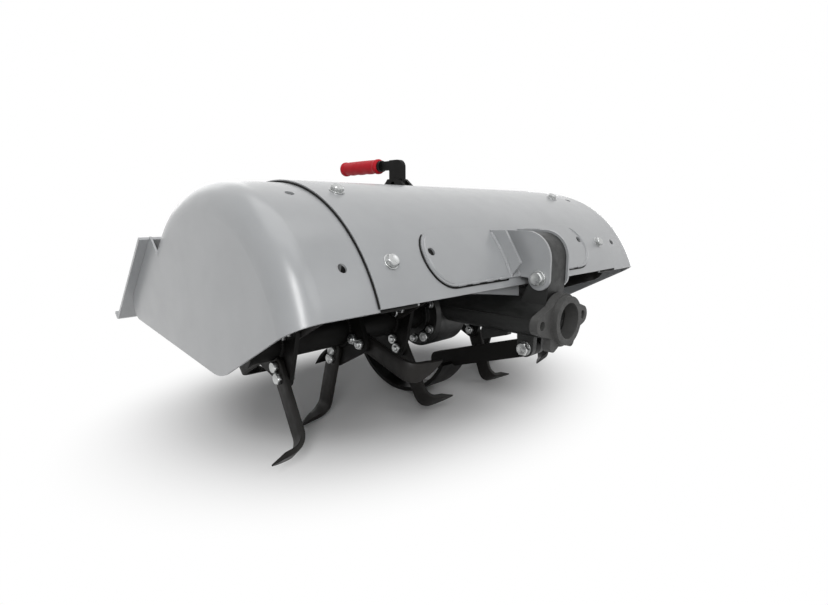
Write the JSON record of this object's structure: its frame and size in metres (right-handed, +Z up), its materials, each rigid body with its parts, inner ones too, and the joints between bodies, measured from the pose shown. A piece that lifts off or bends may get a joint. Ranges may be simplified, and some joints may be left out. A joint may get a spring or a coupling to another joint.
{
  "type": "rotary tiller attachment",
  "caption": "Rear rotary tiller attachment for a two-wheel tractor: hooded bladed rotor on a drive neck with mounting flange, hinged rear flap and a centre depth skid with lever.",
  "frame": {"origin": "on the floor under the middle of the whole tiller (bounding box, bottom centre)", "axes": "X along the rotor, -Y forwards to the drive flange, +Y rearwards to the flap, +Z up"},
  "size_m": [0.732, 0.521, 0.3719],
  "materials": {
    "silver_paint": "semi-gloss silver-grey paint",
    "black_paint": "semi-gloss black paint",
    "blade_steel": "dark painted forged steel",
    "cast_iron": "dark grey sand casting",
    "steel": "machined steel",
    "zinc": "bright zinc plating",
    "red_grip": "soft red plastic"
  },
  "bodies": {
    "frame": {"hood_centre": "silver_paint", "hood_end_left": "silver_paint", "hood_end_right": "silver_paint", "hood_front_plate": "silver_paint", "hood_rear_rail": "silver_paint", "hood_knuckles": "silver_paint", "hinge_rod": "zinc", "saddle": "silver_paint", "saddle_gussets": "silver_paint", "saddle_bolt": "zinc", "neck_housing": "black_paint", "pto_flange": "cast_iron", "gear_case": "black_paint", "drain_plug": "zinc", "stem_guide": "black_paint", "skid_bolt": "zinc"},
    "drive": {"pto_coupling": "steel"},
    "rotor": {"rotor_shaft": "black_paint", "rotor_tubes": "black_paint", "rotor_end_discs": "black_paint", "tine_flanges_left": "black_paint", "tine_flanges_right": "black_paint", "blades_1": "blade_steel", "blades_2": "blade_steel", "blades_3": "blade_steel", "blades_4": "blade_steel", "blades_5": "blade_steel", "blades_6": "blade_steel"},
    "flap": {"rear_flap": "silver_paint", "flap_knuckles": "silver_paint"},
    "skid": {"skid_shoe": "black_paint", "skid_bar": "black_paint", "depth_stem": "black_paint", "lever_arm": "black_paint", "grip": "red_grip"}
  },
  "joints": [
    {"name": "rotor_spin", "type": "hinge", "parent": "frame", "child": "rotor", "pos_m": [0, -0.02253, 0.13336], "axis": [1, 0, 0], "continuous": true},
    {"name": "drive_spin", "type": "hinge", "parent": "frame", "child": "drive", "pos_m": [0, -0.25253, 0.15286], "axis": [0, 1, 0], "continuous": true},
    {"name": "flap_hinge", "type": "hinge", "parent": "frame", "child": "flap", "pos_m": [0, 0.12723, 0.26365], "axis": [1, 0, 0], "range_deg": [0, 60]},
    {"name": "skid_pivot", "type": "hinge", "parent": "frame", "child": "skid", "pos_m": [0, -0.20653, 0.11036], "axis": [1, 0, 0], "range_deg": [-5, 0]}
  ],
  "couplings": [
    {"joint": "drive_spin", "follows": "rotor_spin", "ratio": 3.6}
  ]
}
